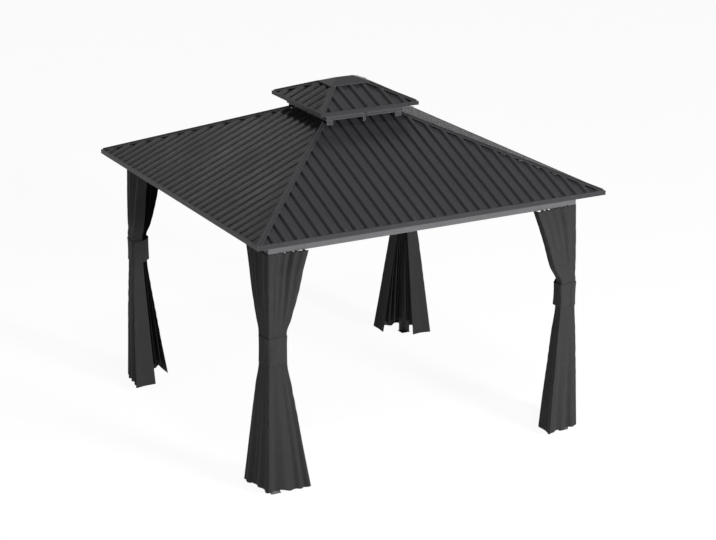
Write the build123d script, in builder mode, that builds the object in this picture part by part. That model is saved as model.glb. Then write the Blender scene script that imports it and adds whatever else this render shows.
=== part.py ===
"""Square two-tier hardtop gazebo with ribbed steel roofs and tied-back curtains.

Frame: origin on the floor at the centre of the plan, +Z up, front is -Y, left is -X.
All sizes are in millimetres. Each side is drawn once and turned about Z.
"""
import os
from math import sqrt

from build123d import *

# ---------------------------------------------------------------- driving sizes
# main roof
roof_side = 3000.0          # eave to eave
eave_height = 2034.0        # top of the eave trim above the floor
main_rise = 619.0           # flat of the sheet at the eave to the same plane over the ridge
roof_ridge = 145.0          # length of the short ridge of both tiers, along X
vent_half = 230.0           # half width, front to back, of the hole left at the top
sheet = 2.0                 # thickness of every roof sheet, cap and trim, measured plumb

# rib of the roofing sheet
rib_pitch = 96.5            # front and back of the main roof
end_rib_pitch = 100.0       # ends of the main roof
upper_rib_pitch = 108.0
rib_height = 18.0
rib_top = 25.0
rib_foot = 15.0             # run of each sloping flank
hip_gap = 6.0               # sheet edge to hip line, measured along the eave

# eave trim and hip caps
trim_drop = 33.0
trim_lap = 10.0             # how far the trim reaches up over the ribs
trim_return = 20.0
cap_flange = 25.0           # hip cap flange, square to the hip
cap_bead = 4.0              # radius of the rounded ridge on a hip cap
bead_sink = 1.0             # how far the rounded ridge is sunk into the cap

# beams, posts, rafters
beam_inset = 164.0          # eave edge to outer face of beams and posts
beam_drop = 6.0             # top of the eave trim to the tops of the beams
beam_height = 118.0
beam_width = 50.0
beam_wall = 3.0
post_width = 70.0
post_leg = 20.0             # thickness of each leg of the angle-shaped post
foot_width = 80.0
foot_thickness = 5.0
anchor_diameter = 13.0
anchor_inset = 50.0         # hole centre from the outer faces of the post
rafter_width = 40.0
mid_rafter_width = 70.0     # wide enough to bear on the sheet either side of the middle rib
rafter_depth = 50.0         # measured plumb
rafter_tail = 24.0          # eave edge to end of the hip rafter tail
tail_depth = 10.0           # plumb depth at the end of the tail
hub_across = 180.0          # crown hub, front to back
hub_height = 70.0

# vent frame under the upper roof
vent_rail_half = 343.0      # half width over the outer faces of the rails
vent_rail_width = 40.0
vent_slot = 1.0             # end ribs to the inner edges of the end rails
vent_rail_height = 98.0     # outer faces of the front and back rails
vent_lip = 12.0             # height of the lip along the bottom of each rail
vent_groove = 10.0          # height of the groove above the lip
vent_groove_depth = 12.0
end_foot_rib = 3            # the front and back rails also stand on this rib of each half

# upper roof
upper_overhang = 90.0       # upper eave beyond the outer faces of the vent rails
upper_rise = 160.0          # measured like the rise of the main roof
upper_drop = 27.0           # depth of the upper eave trim
ridge_gap = 4.0             # sheet edge to ridge line
end_sheet_gap = 30.0        # end sheets stop this far below the end of the ridge
ridge_cap_length = 362.0
ridge_cap_width = 230.0
ridge_cap_edge = 6.0        # upright edge of the ridge cap
ridge_cap_rise = 45.0
ridge_cap_flat = 10.0       # width of the flat along the top of the ridge cap

# curtain rails
rail_width = 26.0
rail_height = 14.0
rail_slot = 8.0
rail_wall = 3.0

# curtains, at their hem, below the tie, at the tie, above it, and at the rail
curtain_levels = (35.0, 600.0, 1075.0, 1270.0, 1600.0)
curtain_reach = (285.0, 200.0, 126.0, 126.0, 238.0, 315.0)     # from the post's outer corner
curtain_bulge = (52.0, 34.0, 14.0, 14.0, 12.0, 6.0)            # outward, at the post's corner
curtain_flare = (110.0, 72.0, 30.0, 30.0, 36.0, 34.0)          # outward, at the free edges
curtain_depth = (100.0, 84.0, 72.0, 72.0, 68.0, 62.0)          # inward, at the free edges
wrap_depth = 60.0           # inward, where the fabric turns round the post
TIE = 2                     # the tie band spans from this level to the next
fabric_gap = 1.0            # fabric to post
seat_gap = 0.3              # fabric or cap to what carries it
band_thickness = 4.0

# ---------------------------------------------------------------- worked-out sizes
half_roof = roof_side / 2
frame_half = half_roof - beam_inset                         # outer faces of beams and posts
beam_top = eave_height - beam_drop
beam_bottom = beam_top - beam_height
rail_bottom = beam_bottom - rail_height
upper_half = vent_rail_half + upper_overhang
ridge_half = roof_ridge / 2
SIDES = {"front": 0, "right": 90, "back": 180, "left": 270}
CORNERS = {"front_left": (-1, -1), "front_right": (1, -1), "back_right": (1, 1), "back_left": (-1, 1)}


class Roof:
    """One tier of the roof. Turns 0 and 180 are its front and back, 90 and 270 its ends."""

    def __init__(self, half, pan_eave, rise, drop, pitch, end_pitch):
        self.half = half
        self.pan_eave = pan_eave                            # height of the flat at the eave
        self.slopes = {0: rise / half, 90: rise / (half - ridge_half)}
        self.drop = drop                                    # depth of the eave trim
        self.pitches = {0: pitch, 90: end_pitch}            # rib to rib

    def slope(self, turn):
        return self.slopes[turn % 180]

    def plumb(self, turn):
        """Height that one unit square to the slope takes up."""
        return sqrt(1 + self.slope(turn) ** 2)

    def pan(self, turn, out):
        """Height of the flat of the sheet at a distance out from the centre."""
        return self.pan_eave + (self.half - out) * self.slope(turn)

    def underside(self, turn, out):
        return self.pan(turn, out) - sheet

    def rib_line(self, turn, out):
        """Height of the tops of the ribs."""
        return self.pan(turn, out) + rib_height * self.plumb(turn)

    def cap_line(self, turn, out):
        """Height of a cap or trim that lies on the ribs."""
        return self.rib_line(turn, out) + sheet * self.plumb(turn)

    def hip(self, turn, out):
        """Half length of the side up to its hip line, at a distance out."""
        if turn % 180 == 0:
            return ridge_half + out / self.half * (self.half - ridge_half)
        return (out - ridge_half) / (self.half - ridge_half) * self.half


main_pan = eave_height - (sheet + rib_height) * sqrt(1 + (main_rise / half_roof) ** 2)
main_roof = Roof(half_roof, main_pan, main_rise, trim_drop, rib_pitch, end_rib_pitch)
vent_rail_bottom = main_roof.rib_line(90, vent_rail_half - vent_rail_width) + vent_slot
vent_rail_top = vent_rail_bottom + vent_rail_height
upper_pan = vent_rail_top + sheet - upper_overhang * upper_rise / upper_half
upper_roof = Roof(upper_half, upper_pan, upper_rise, upper_drop, upper_rib_pitch,
                  upper_rib_pitch)

# plan direction of the main hips, and the parts that meet round the ends of the ridge
hip_length = sqrt((half_roof - ridge_half) ** 2 + half_roof ** 2)
hip_x, hip_y = (half_roof - ridge_half) / hip_length, half_roof / hip_length
hub_half = hub_across / 2


# ---------------------------------------------------------------- planes and helpers
def along_side(turn):
    """Direction along a side, to the right of someone outside who faces it."""
    return Vector(1, 0, 0).rotate(Axis.Z, turn)


def outward(turn):
    """Direction that a side faces."""
    return Vector(0, -1, 0).rotate(Axis.Z, turn)


def section_plane(turn):
    """Cross-section of a side: x is the distance out from the centre, y the height."""
    return Plane(origin=(0, 0, 0), x_dir=outward(turn), z_dir=along_side(turn) * -1)


def plan_plane(turn):
    """Plan of a side: x runs along the side and -y outward."""
    return Plane(origin=(0, 0, 0), x_dir=along_side(turn), z_dir=(0, 0, 1))


def hip_plane(signs):
    """Upright plane along a main hip: x is the run from the end of the ridge, y the height."""
    direction = Vector(signs[0] * hip_x, signs[1] * hip_y, 0)
    return Plane(origin=(signs[0] * ridge_half, 0, 0), x_dir=direction,
                 z_dir=direction.cross(Vector(0, 0, 1)))


def hip_run(corner_half):
    """Run along a main hip to a point level with a corner of the frame."""
    return (corner_half - ridge_half) * hip_x + corner_half * hip_y


def corner_points(signs, pairs):
    """Plan points of a corner, from distances in from the post's outer faces."""
    return [(signs[0] * (frame_half - a), signs[1] * (frame_half - b)) for a, b in pairs]


def outline(points):
    """Add a face with this outline to the sketch that is being drawn."""
    Polygon(*points, align=None)


def save(builder, name):
    """Label a finished piece and write it as a STEP file named after its node."""
    builder.part.label = name
    export_step(builder.part, f"parts/{name}.step")


os.makedirs("parts", exist_ok=True)


# ---------------------------------------------------------------- roof sheets and eave trims
def rib_profile(half_length, pitch, thickness):
    """Outline of the ribbed sheet across its ribs, with the flat at y = 0."""
    count = int((half_length - rib_top / 2 - rib_foot) // pitch)
    top = [(-half_length, 0.0)]
    for index in range(-count, count + 1):
        centre = index * pitch
        top.append((centre - rib_top / 2 - rib_foot, 0.0))
        top.append((centre - rib_top / 2, rib_height))
        top.append((centre + rib_top / 2, rib_height))
        top.append((centre + rib_top / 2 + rib_foot, 0.0))
    top.append((half_length, 0.0))
    return top + [(x, y - thickness) for x, y in reversed(top)]


def ribbed_sheet(roof, turn, top_out):
    """Sheet of one side, from inside the eave trim up to top_out, cut plumb at its hips."""
    plumb = roof.plumb(turn)
    pitch = roof.pitches[turn % 180]
    start = roof.half + pitch                               # the sheet is cut from a longer one
    fall = (outward(turn) - Vector(0, 0, roof.slope(turn))) * (1 / plumb)
    origin = outward(turn) * start + Vector(0, 0, roof.pan(turn, start))
    low_out = roof.half - sheet
    low = roof.hip(turn, low_out) - hip_gap
    high = roof.hip(turn, top_out) - hip_gap
    with BuildPart() as panel:
        with BuildSketch(Plane(origin=origin, x_dir=along_side(turn), z_dir=fall)):
            outline(rib_profile(roof.half, pitch, sheet / plumb))
        extrude(amount=-start * plumb)
        with BuildSketch(plan_plane(turn)):
            outline([(-low, -low_out), (low, -low_out), (high, -top_out), (-high, -top_out)])
        extrude(amount=roof.pan_eave * 2, mode=Mode.INTERSECT)
    return panel


def eave_trim(roof, turn):
    """Folded trim of one side: a lap over the ribs, an upright face and a bottom return."""
    edge = roof.half
    lap_out = edge - trim_lap
    top = roof.cap_line(turn, edge)
    low = top - roof.drop
    fold = [
        (edge, low),
        (edge, top),
        (lap_out, roof.cap_line(turn, lap_out)),
        (lap_out, roof.rib_line(turn, lap_out)),
        (edge - sheet, roof.rib_line(turn, edge - sheet)),
        (edge - sheet, low + sheet),
        (edge - trim_return, low + sheet),
        (edge - trim_return, low),
    ]
    with BuildPart() as trim:
        with BuildSketch(section_plane(turn)):
            outline(fold)
        extrude(amount=edge, both=True)
        with BuildSketch(plan_plane(turn)):
            outline([(0, 0), (2 * edge, -2 * edge), (-2 * edge, -2 * edge)])
        extrude(amount=top * 2, mode=Mode.INTERSECT)
    return trim


for side, turn in SIDES.items():
    main_top = vent_half if turn % 180 == 0 else main_roof.hip(0, vent_half)
    save(ribbed_sheet(main_roof, turn, main_top), f"{side}_roof_panel")
    save(eave_trim(main_roof, turn), f"{side}_eave_trim")

    upper_top = ridge_gap if turn % 180 == 0 else ridge_half + end_sheet_gap
    upper_sheet = ribbed_sheet(upper_roof, turn, upper_top)
    upper_trim = eave_trim(upper_roof, turn)
    with BuildPart() as upper_panel:
        add(upper_sheet.part)
        add(upper_trim.part)
    save(upper_panel, f"{side}_upper_panel")


# ---------------------------------------------------------------- hip caps and ridge cap
def hip_flange(roof, turn, end, low_out, high_out):
    """Half of a hip cap: the flange that lies on one side's ribs, at its end -1 or 1."""
    low, high = roof.hip(turn, low_out), roof.hip(turn, high_out)
    run = sqrt((low - high) ** 2 + (low_out - high_out) ** 2)
    shift = cap_flange * run / (low_out - high_out)
    with BuildPart() as flange:
        with BuildSketch(section_plane(turn)):
            outline([
                (high_out, roof.rib_line(turn, high_out)),
                (low_out, roof.rib_line(turn, low_out)),
                (low_out, roof.cap_line(turn, low_out)),
                (high_out, roof.cap_line(turn, high_out)),
            ])
        extrude(amount=low, both=True)
        with BuildSketch(plan_plane(turn)):
            outline([
                (end * low, -low_out),
                (end * high, -high_out),
                (end * (high - shift), -high_out),
                (end * (low - shift), -low_out),
            ])
        extrude(amount=roof.pan_eave * 2, mode=Mode.INTERSECT)
    return flange


def hip_cap(roof, signs, high_out):
    """Folded cap over one hip, with a rounded ridge and a web that closes the hip below it.

    It runs from the eave trim up to high_out, a distance out on the front or back side.
    """
    turn, end = (0, signs[0]) if signs[1] < 0 else (180, -signs[0])
    end_turn, end_end = (90, signs[1]) if signs[0] > 0 else (270, -signs[1])
    low_out = roof.hip(90, roof.half - trim_lap)
    side_flange = hip_flange(roof, turn, end, low_out, high_out)
    end_flange = hip_flange(roof, end_turn, end_end, roof.hip(0, low_out), roof.hip(0, high_out))
    bead_ends = []
    for out in (low_out - cap_bead, high_out + cap_bead):
        height = roof.cap_line(turn, out) + cap_bead - bead_sink
        bead_ends.append(Vector(signs[0] * roof.hip(0, out), signs[1] * out, height))
    bead_run = bead_ends[1] - bead_ends[0]
    web_out = low_out - cap_bead                            # the web stops short of the trims
    web_start = Vector(signs[0] * roof.hip(0, web_out), signs[1] * web_out, 0)
    web_run = Vector(signs[0] * roof.hip(0, high_out), signs[1] * high_out, 0) - web_start
    web_plane = Plane(origin=web_start, x_dir=web_run, z_dir=web_run.cross(Vector(0, 0, 1)))
    with BuildPart() as cap:
        add(side_flange.part)
        add(end_flange.part)
        with BuildSketch(web_plane):
            outline([
                (0, roof.pan(0, web_out)),
                (web_run.length, roof.pan(0, high_out)),
                (web_run.length, roof.cap_line(0, high_out)),
                (0, roof.cap_line(0, web_out)),
            ])
        extrude(amount=sheet / 2, both=True)
        with BuildSketch(Plane(origin=bead_ends[0], z_dir=bead_run)):
            Circle(cap_bead)
        extrude(amount=bead_run.length)
    return cap


for corner, signs in CORNERS.items():
    cap_top = main_roof.hip(90, vent_rail_half + seat_gap)  # outer faces of the end rails
    save(hip_cap(main_roof, signs, cap_top), f"{corner}_hip_cap")

cap_wall = ridge_cap_width / 2 - sheet                      # inner face of the ridge cap's edge
cap_foot = upper_roof.rib_line(0, cap_wall) + seat_gap
upper_hip_caps = [hip_cap(upper_roof, signs, cap_wall) for signs in CORNERS.values()]
with BuildPart() as upper_roof_cap:
    with BuildSketch(Plane.XY.offset(cap_foot)):
        Rectangle(ridge_cap_length, ridge_cap_width)
    extrude(amount=ridge_cap_edge)
    with BuildSketch(Plane.XY.offset(cap_foot + ridge_cap_edge)):
        Rectangle(ridge_cap_length, ridge_cap_width)
    with BuildSketch(Plane.XY.offset(cap_foot + ridge_cap_rise)):
        Rectangle(roof_ridge, ridge_cap_flat)
    loft()
    with BuildSketch(Plane.XY.offset(cap_foot)):
        Rectangle(ridge_cap_length - 2 * sheet, ridge_cap_width - 2 * sheet)
    with BuildSketch(Plane.XY.offset(cap_foot + ridge_cap_rise - sheet)):
        Rectangle(roof_ridge, ridge_cap_flat)
    loft(mode=Mode.SUBTRACT)
    for cap in upper_hip_caps:
        add(cap.part)
save(upper_roof_cap, "upper_roof_cap")


# ---------------------------------------------------------------- vent rails
for side, turn in SIDES.items():
    rail_in = vent_rail_half - vent_rail_width
    groove_out = vent_rail_half - vent_groove_depth
    groove_low = vent_rail_bottom + vent_lip
    end_foot_in = end_foot_rib * rib_pitch - rib_top / 2
    foot_spans = [(-rib_top / 2, rib_top / 2)]
    if turn % 180 == 0:
        foot_spans += [(end_foot_in, vent_rail_half), (-vent_rail_half, -end_foot_in)]
    with BuildPart() as vent_rail:
        with BuildSketch(section_plane(turn)):
            outline([
                (rail_in, vent_rail_bottom),
                (vent_rail_half, vent_rail_bottom),
                (vent_rail_half, groove_low),
                (groove_out, groove_low),
                (groove_out, groove_low + vent_groove),
                (vent_rail_half, groove_low + vent_groove),
                (vent_rail_half, upper_roof.underside(turn, vent_rail_half)),
                (rail_in, upper_roof.underside(turn, rail_in)),
            ])
        extrude(amount=vent_rail_half, both=True)
        with BuildSketch(section_plane(turn)):
            outline([(groove_out, 0), (vent_rail_half, 0), (vent_rail_half, vent_rail_top),
                     (groove_out, vent_rail_top)])
        extrude(amount=rib_top / 2, both=True, mode=Mode.SUBTRACT)
        for start, end in foot_spans:
            with BuildSketch(section_plane(turn).offset(-start)):
                outline([
                    (rail_in, main_roof.rib_line(turn, rail_in)),
                    (groove_out, main_roof.rib_line(turn, groove_out)),
                    (groove_out, vent_rail_bottom),
                    (rail_in, vent_rail_bottom),
                ])
            extrude(amount=start - end)
        with BuildSketch(plan_plane(turn)):
            outline([(0, 0), (2 * vent_rail_half, -2 * vent_rail_half),
                     (-2 * vent_rail_half, -2 * vent_rail_half)])
        extrude(amount=vent_rail_top * 2, mode=Mode.INTERSECT)
        with BuildSketch(section_plane(turn + 90)):
            outline([
                (-upper_half, 0),
                (upper_half, 0),
                (upper_half, upper_roof.underside(turn + 90, upper_half)),
                (0, upper_roof.underside(turn + 90, 0)),
                (-upper_half, upper_roof.underside(turn + 90, upper_half)),
            ])
        extrude(amount=upper_half, both=True, mode=Mode.INTERSECT)
    save(vent_rail, f"{side}_vent_rail")


# ---------------------------------------------------------------- crown hub and rafters
hub_top = main_roof.underside(0, hub_half)
flat_x = ridge_half + hub_half * (1 - hip_y) / hip_x        # the four corner flats face the hips
flat_y = hub_half * (1 - hip_x) / hip_y
quarter = [(flat_x, hub_half), (ridge_half + hub_half, flat_y)]
with BuildPart() as crown_hub:
    with BuildSketch(Plane.XY.offset(hub_top - hub_height)):
        outline(quarter + [(x, -y) for x, y in reversed(quarter)]
                + [(-x, -y) for x, y in quarter] + [(-x, y) for x, y in reversed(quarter)])
    extrude(amount=hub_height)
save(crown_hub, "crown_hub")

for side, turn in SIDES.items():
    seat_in, seat_out = frame_half - beam_width, frame_half
    rafter_end = hub_half if turn % 180 == 0 else ridge_half + hub_half
    with BuildPart() as mid_rafter:
        with BuildSketch(section_plane(turn)):
            outline([
                (rafter_end, main_roof.underside(turn, rafter_end)),
                (seat_out, main_roof.underside(turn, seat_out)),
                (seat_out, beam_top),
                (seat_in, beam_top),
                (seat_in, main_roof.underside(turn, seat_in) - rafter_depth),
                (rafter_end, main_roof.underside(turn, rafter_end) - rafter_depth),
            ])
        extrude(amount=mid_rafter_width / 2, both=True)
    save(mid_rafter, f"{side}_mid_rafter")


def hip_rafter_top(run):
    """Top of a hip rafter, whose two top edges stay below the sheets, at a run along the hip."""
    edge = rafter_width / 2
    return min(main_roof.underside(0, run * hip_y + edge * hip_x),
               main_roof.underside(90, ridge_half + run * hip_x + edge * hip_y))


for corner, signs in CORNERS.items():
    tail = (half_roof - rafter_tail) / hip_y
    seat_out, seat_in = hip_run(frame_half), hip_run(frame_half - beam_width)
    with BuildPart() as hip_rafter:
        with BuildSketch(hip_plane(signs)):
            outline([
                (hub_half, hip_rafter_top(hub_half)),
                (tail, hip_rafter_top(tail)),
                (tail, hip_rafter_top(tail) - tail_depth),
                (seat_out, beam_top),
                (seat_in, beam_top),
                (seat_in, hip_rafter_top(seat_in) - rafter_depth),
                (hub_half, hip_rafter_top(hub_half) - rafter_depth),
            ])
        extrude(amount=rafter_width / 2, both=True)
    save(hip_rafter, f"{corner}_hip_rafter")


# ---------------------------------------------------------------- beams and curtain rails
for side, turn in SIDES.items():
    beam_half = frame_half if turn % 180 == 0 else frame_half - beam_width
    with BuildPart() as beam:
        with BuildSketch(section_plane(turn)):
            with Locations((frame_half - beam_width / 2, beam_bottom + beam_height / 2)):
                Rectangle(beam_width, beam_height)
                Rectangle(beam_width - 2 * beam_wall, beam_height - 2 * beam_wall,
                          mode=Mode.SUBTRACT)
        extrude(amount=beam_half, both=True)
    save(beam, f"{side}_beam")

    with BuildPart() as curtain_rail:
        with BuildSketch(section_plane(turn)):
            with Locations((frame_half - beam_width / 2, beam_bottom - rail_height / 2)):
                Rectangle(rail_width, rail_height)
                Rectangle(rail_width - 2 * rail_wall, rail_height - 2 * rail_wall,
                          mode=Mode.SUBTRACT)
            with Locations((frame_half - beam_width / 2, rail_bottom + rail_wall / 2)):
                Rectangle(rail_slot, rail_wall, mode=Mode.SUBTRACT)
        extrude(amount=frame_half - post_width, both=True)
    save(curtain_rail, f"{side}_curtain_rail")


# ---------------------------------------------------------------- posts, curtains and tie bands
def curtain_section(level):
    """Plan of the gathered curtain at one level: two leaves wrapped round the post's outside."""
    reach, depth = curtain_reach[level], curtain_depth[level]
    bulge, flare = curtain_bulge[level], curtain_flare[level]
    past_post = post_width + fabric_gap
    return [
        (-bulge, -bulge),
        (reach, -flare),
        (reach, depth),
        (past_post, wrap_depth),
        (past_post, -fabric_gap),
        (-fabric_gap, -fabric_gap),
        (-fabric_gap, past_post),
        (wrap_depth, past_post),
        (depth, reach),
        (-flare, reach),
    ]


def tie_outline(level):
    """Convex outline round the gathered curtain and its post at one level."""
    section = curtain_section(level)
    return [section[0], section[1], section[2], section[8], section[9]]


for corner, signs in CORNERS.items():
    with BuildPart() as post:
        with BuildSketch(Plane.XY):
            outline(corner_points(signs, [(0, 0), (foot_width, 0), (foot_width, foot_width),
                                          (0, foot_width)]))
            with Locations(*corner_points(signs, [(anchor_inset, anchor_inset)])):
                Circle(anchor_diameter / 2, mode=Mode.SUBTRACT)
        extrude(amount=foot_thickness)
        with BuildSketch(Plane.XY):
            outline(corner_points(signs, [(0, 0), (post_width, 0), (post_width, post_leg),
                                          (post_leg, post_leg), (post_leg, post_width),
                                          (0, post_width)]))
        extrude(amount=beam_bottom)
    save(post, f"{corner}_post")

    with BuildPart() as curtain:
        for level, height in enumerate(curtain_levels + (rail_bottom - seat_gap,)):
            with BuildSketch(Plane.XY.offset(height)):
                outline(corner_points(signs, curtain_section(level)))
        loft(ruled=True)
    save(curtain, f"{corner}_curtain")

    with BuildPart() as tie_band:
        with BuildSketch(Plane.XY.offset(curtain_levels[TIE])):
            outline(corner_points(signs, tie_outline(TIE)))
            offset(amount=seat_gap + band_thickness)
        extrude(amount=curtain_levels[TIE + 1] - curtain_levels[TIE])
        with BuildSketch(Plane.XY.offset(curtain_levels[TIE])):
            outline(corner_points(signs, tie_outline(TIE)))
            offset(amount=seat_gap)
        extrude(amount=curtain_levels[TIE + 1] - curtain_levels[TIE], mode=Mode.SUBTRACT)
    save(tie_band, f"{corner}_tie_band")
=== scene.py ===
# %% [markdown]
# # A hardtop garden gazebo with tied-back curtains
#
# The metal frame and the ribbed roof are loaded as exact solids, and this lesson dresses them.
# It adds what a maker adds by hand: screws, caps, curtain hooks, cloth and finishes. Everything
# is in metres, +Z is up, the front is -Y, and the origin is on the floor under the middle.

import math

import bmesh
import bpy
import numpy as np
from mathutils import Matrix, Vector


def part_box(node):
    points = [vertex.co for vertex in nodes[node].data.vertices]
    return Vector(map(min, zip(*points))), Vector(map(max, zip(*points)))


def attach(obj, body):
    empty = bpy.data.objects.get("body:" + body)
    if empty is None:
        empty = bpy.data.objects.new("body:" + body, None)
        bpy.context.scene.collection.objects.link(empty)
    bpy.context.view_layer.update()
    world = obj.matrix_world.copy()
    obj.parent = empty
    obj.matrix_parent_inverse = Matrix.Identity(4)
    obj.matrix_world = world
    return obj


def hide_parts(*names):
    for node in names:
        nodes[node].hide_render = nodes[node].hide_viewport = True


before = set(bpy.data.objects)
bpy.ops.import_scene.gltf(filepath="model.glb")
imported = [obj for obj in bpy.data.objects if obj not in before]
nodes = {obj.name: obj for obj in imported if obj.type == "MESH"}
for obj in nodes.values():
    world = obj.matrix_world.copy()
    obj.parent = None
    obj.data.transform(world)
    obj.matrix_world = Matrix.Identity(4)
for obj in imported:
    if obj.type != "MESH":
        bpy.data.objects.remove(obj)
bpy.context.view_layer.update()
SIDES = ("front", "right", "back", "left")
CORNERS = {                            # the signs of X and Y at each corner
    "front_left": (-1, -1), "front_right": (1, -1), "back_right": (1, 1), "back_left": (-1, 1),
}
print("solids loaded:", len(nodes))

# %% [markdown]
# ## Measures taken from the solids
#
# Every added piece takes its place from a solid's own box, so it follows when a size of the
# frame changes. The front's trim, beam and curtain rail are enough: the plan is square, and
# the other sides are the same ones turned.

# %% Measures
beam_low, beam_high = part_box("front_beam")
rail_low, rail_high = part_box("front_curtain_rail")
EAVE = -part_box("front_eave_trim")[0].y  # centre to eave edge
FRAME_HALF = -beam_low.y               # centre to the posts' outer faces
BEAM_BOTTOM = beam_low.z
RAIL_BOTTOM = rail_low.z
RAIL_LINE = -(rail_low.y + rail_high.y) / 2
RAIL_END = rail_high.x                 # where the rail meets the post
POST_LEG = FRAME_HALF - RAIL_END       # width of the post's legs
print(f"eave {EAVE:.3f}, frame {FRAME_HALF:.3f}, beam {BEAM_BOTTOM:.3f}, rail {RAIL_BOTTOM:.3f}")

# %% [markdown]
# ## Small helpers
#
# Each new piece is a mesh with a name, a material and a body to ride on. One helper gives
# it the material, the smooth shading and the body, so no piece misses a step.

# %% Helpers for pieces


def finish_piece(piece, material, smooth=True):
    """Give a piece its material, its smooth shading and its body."""
    piece.data.materials.clear()
    piece.data.materials.append(material)
    for polygon in piece.data.polygons:
        polygon.use_smooth = smooth
    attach(piece, "root")
    print(f"{piece.name}: {len(piece.data.polygons)} faces")
    return piece


def mesh_piece(name, vertices, faces):
    """A new object from lists of vertices and faces."""
    mesh = bpy.data.meshes.new(name)
    mesh.from_pydata([tuple(v) for v in vertices], [], faces)
    mesh.validate()
    piece = bpy.data.objects.new(name, mesh)
    bpy.context.scene.collection.objects.link(piece)
    return piece


def bmesh_piece(name, build):
    """A new object whose mesh is filled in by build(bm)."""
    mesh = bpy.data.meshes.new(name)
    bm = bmesh.new()
    build(bm)
    bmesh.ops.recalc_face_normals(bm, faces=bm.faces)
    bm.to_mesh(mesh)
    bm.free()
    piece = bpy.data.objects.new(name, mesh)
    bpy.context.scene.collection.objects.link(piece)
    return piece


def side_matrix(turn):
    """Turns the front side's layout onto another side, in degrees about Z."""
    return Matrix.Rotation(math.radians(turn), 4, "Z")


print("helpers: finish_piece, mesh_piece, bmesh_piece, side_matrix")


# %% [markdown]
# ## Shared effects
#
# Three effects come up in more than one finish, so each is a node group that is built once.
# *Powder grain* is the fine orange peel of baked paint. *Edge wear* compares a rounded
# normal with the true one, which finds the folds that rub bright first. *Settled dust*
# favours faces that look up. All three could be drawn as pictures and wrapped round each
# piece, but noise needs no unwrapping and stays sharp from close by. Groups put out masks
# and heights only; the shader stays in each material.

# %% Node group helpers


def new_group(name, inputs, outputs):
    """An empty shader group with named inputs (name, default) and outputs (name, kind)."""
    group = bpy.data.node_groups.new(name, "ShaderNodeTree")
    for label, default in inputs:
        socket = group.interface.new_socket(label, in_out="INPUT", socket_type="NodeSocketFloat")
        socket.default_value = default
    for label, kind in outputs:
        group.interface.new_socket(label, in_out="OUTPUT", socket_type=kind)
    return group, group.nodes.new("NodeGroupInput"), group.nodes.new("NodeGroupOutput")


def math_node(tree, operation, first, second=None, clamp=False):
    """A Math node; each operand is a number or an output socket."""
    node = tree.nodes.new("ShaderNodeMath")
    node.operation = operation
    node.use_clamp = clamp
    for socket, value in zip(node.inputs, (first, second)):
        if value is None:
            continue
        if isinstance(value, (int, float)):
            socket.default_value = value
        else:
            tree.links.new(value, socket)
    return node.outputs[0]


def noise_node(tree, vector, scale, detail=3.0, roughness=0.5):
    """A Noise texture on the given coordinates; scale is a number or an output socket."""
    node = tree.nodes.new("ShaderNodeTexNoise")
    tree.links.new(vector, node.inputs["Vector"])
    if isinstance(scale, (int, float)):
        node.inputs["Scale"].default_value = scale
    else:
        tree.links.new(scale, node.inputs["Scale"])
    node.inputs["Detail"].default_value = detail
    node.inputs["Roughness"].default_value = roughness
    return node.outputs["Fac"]


print("helpers: new_group, math_node, noise_node")


# %% Powder grain
grain_group, grain_in, grain_out = new_group(
    "powder_grain",
    [("Peel Scale", 420.0), ("Cloud Scale", 2.2)],
    [("Height", "NodeSocketFloat"), ("Clouds", "NodeSocketFloat")],
)
grain_coords = grain_group.nodes.new("ShaderNodeTexCoord").outputs["Object"]
peel = noise_node(grain_group, grain_coords, grain_in.outputs["Peel Scale"], 2.0, 0.45)
clouds = noise_node(grain_group, grain_coords, grain_in.outputs["Cloud Scale"], 5.0, 0.6)
grain_group.links.new(peel, grain_out.inputs["Height"])
grain_group.links.new(clouds, grain_out.inputs["Clouds"])
print("group:", grain_group.name)

# %% Edge wear
wear_group, wear_in, wear_out = new_group(
    "edge_wear",
    [("Amount", 0.5), ("Breakup Scale", 30.0)],
    [("Mask", "NodeSocketFloat")],
)
rounded = wear_group.nodes.new("ShaderNodeBevel")
FOLD_RADIUS = 0.003                    # bend of the sheet that rubs bright
WEAR_GAIN = 7.0
rounded.samples = 4
rounded.inputs["Radius"].default_value = FOLD_RADIUS
surface = wear_group.nodes.new("ShaderNodeNewGeometry")
alike = wear_group.nodes.new("ShaderNodeVectorMath")
alike.operation = "DOT_PRODUCT"
wear_group.links.new(rounded.outputs["Normal"], alike.inputs[0])
wear_group.links.new(surface.outputs["Normal"], alike.inputs[1])
edge = math_node(wear_group, "SUBTRACT", 1.0, alike.outputs["Value"], clamp=True)
wear_coords = wear_group.nodes.new("ShaderNodeTexCoord").outputs["Object"]
patches = noise_node(wear_group, wear_coords, wear_in.outputs["Breakup Scale"], 4.0, 0.65)
edge = math_node(wear_group, "MULTIPLY", edge, patches)
edge = math_node(wear_group, "MULTIPLY", edge, WEAR_GAIN)
edge = math_node(wear_group, "MULTIPLY", edge, wear_in.outputs["Amount"], clamp=True)
wear_group.links.new(edge, wear_out.inputs["Mask"])
print("group:", wear_group.name)

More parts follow.
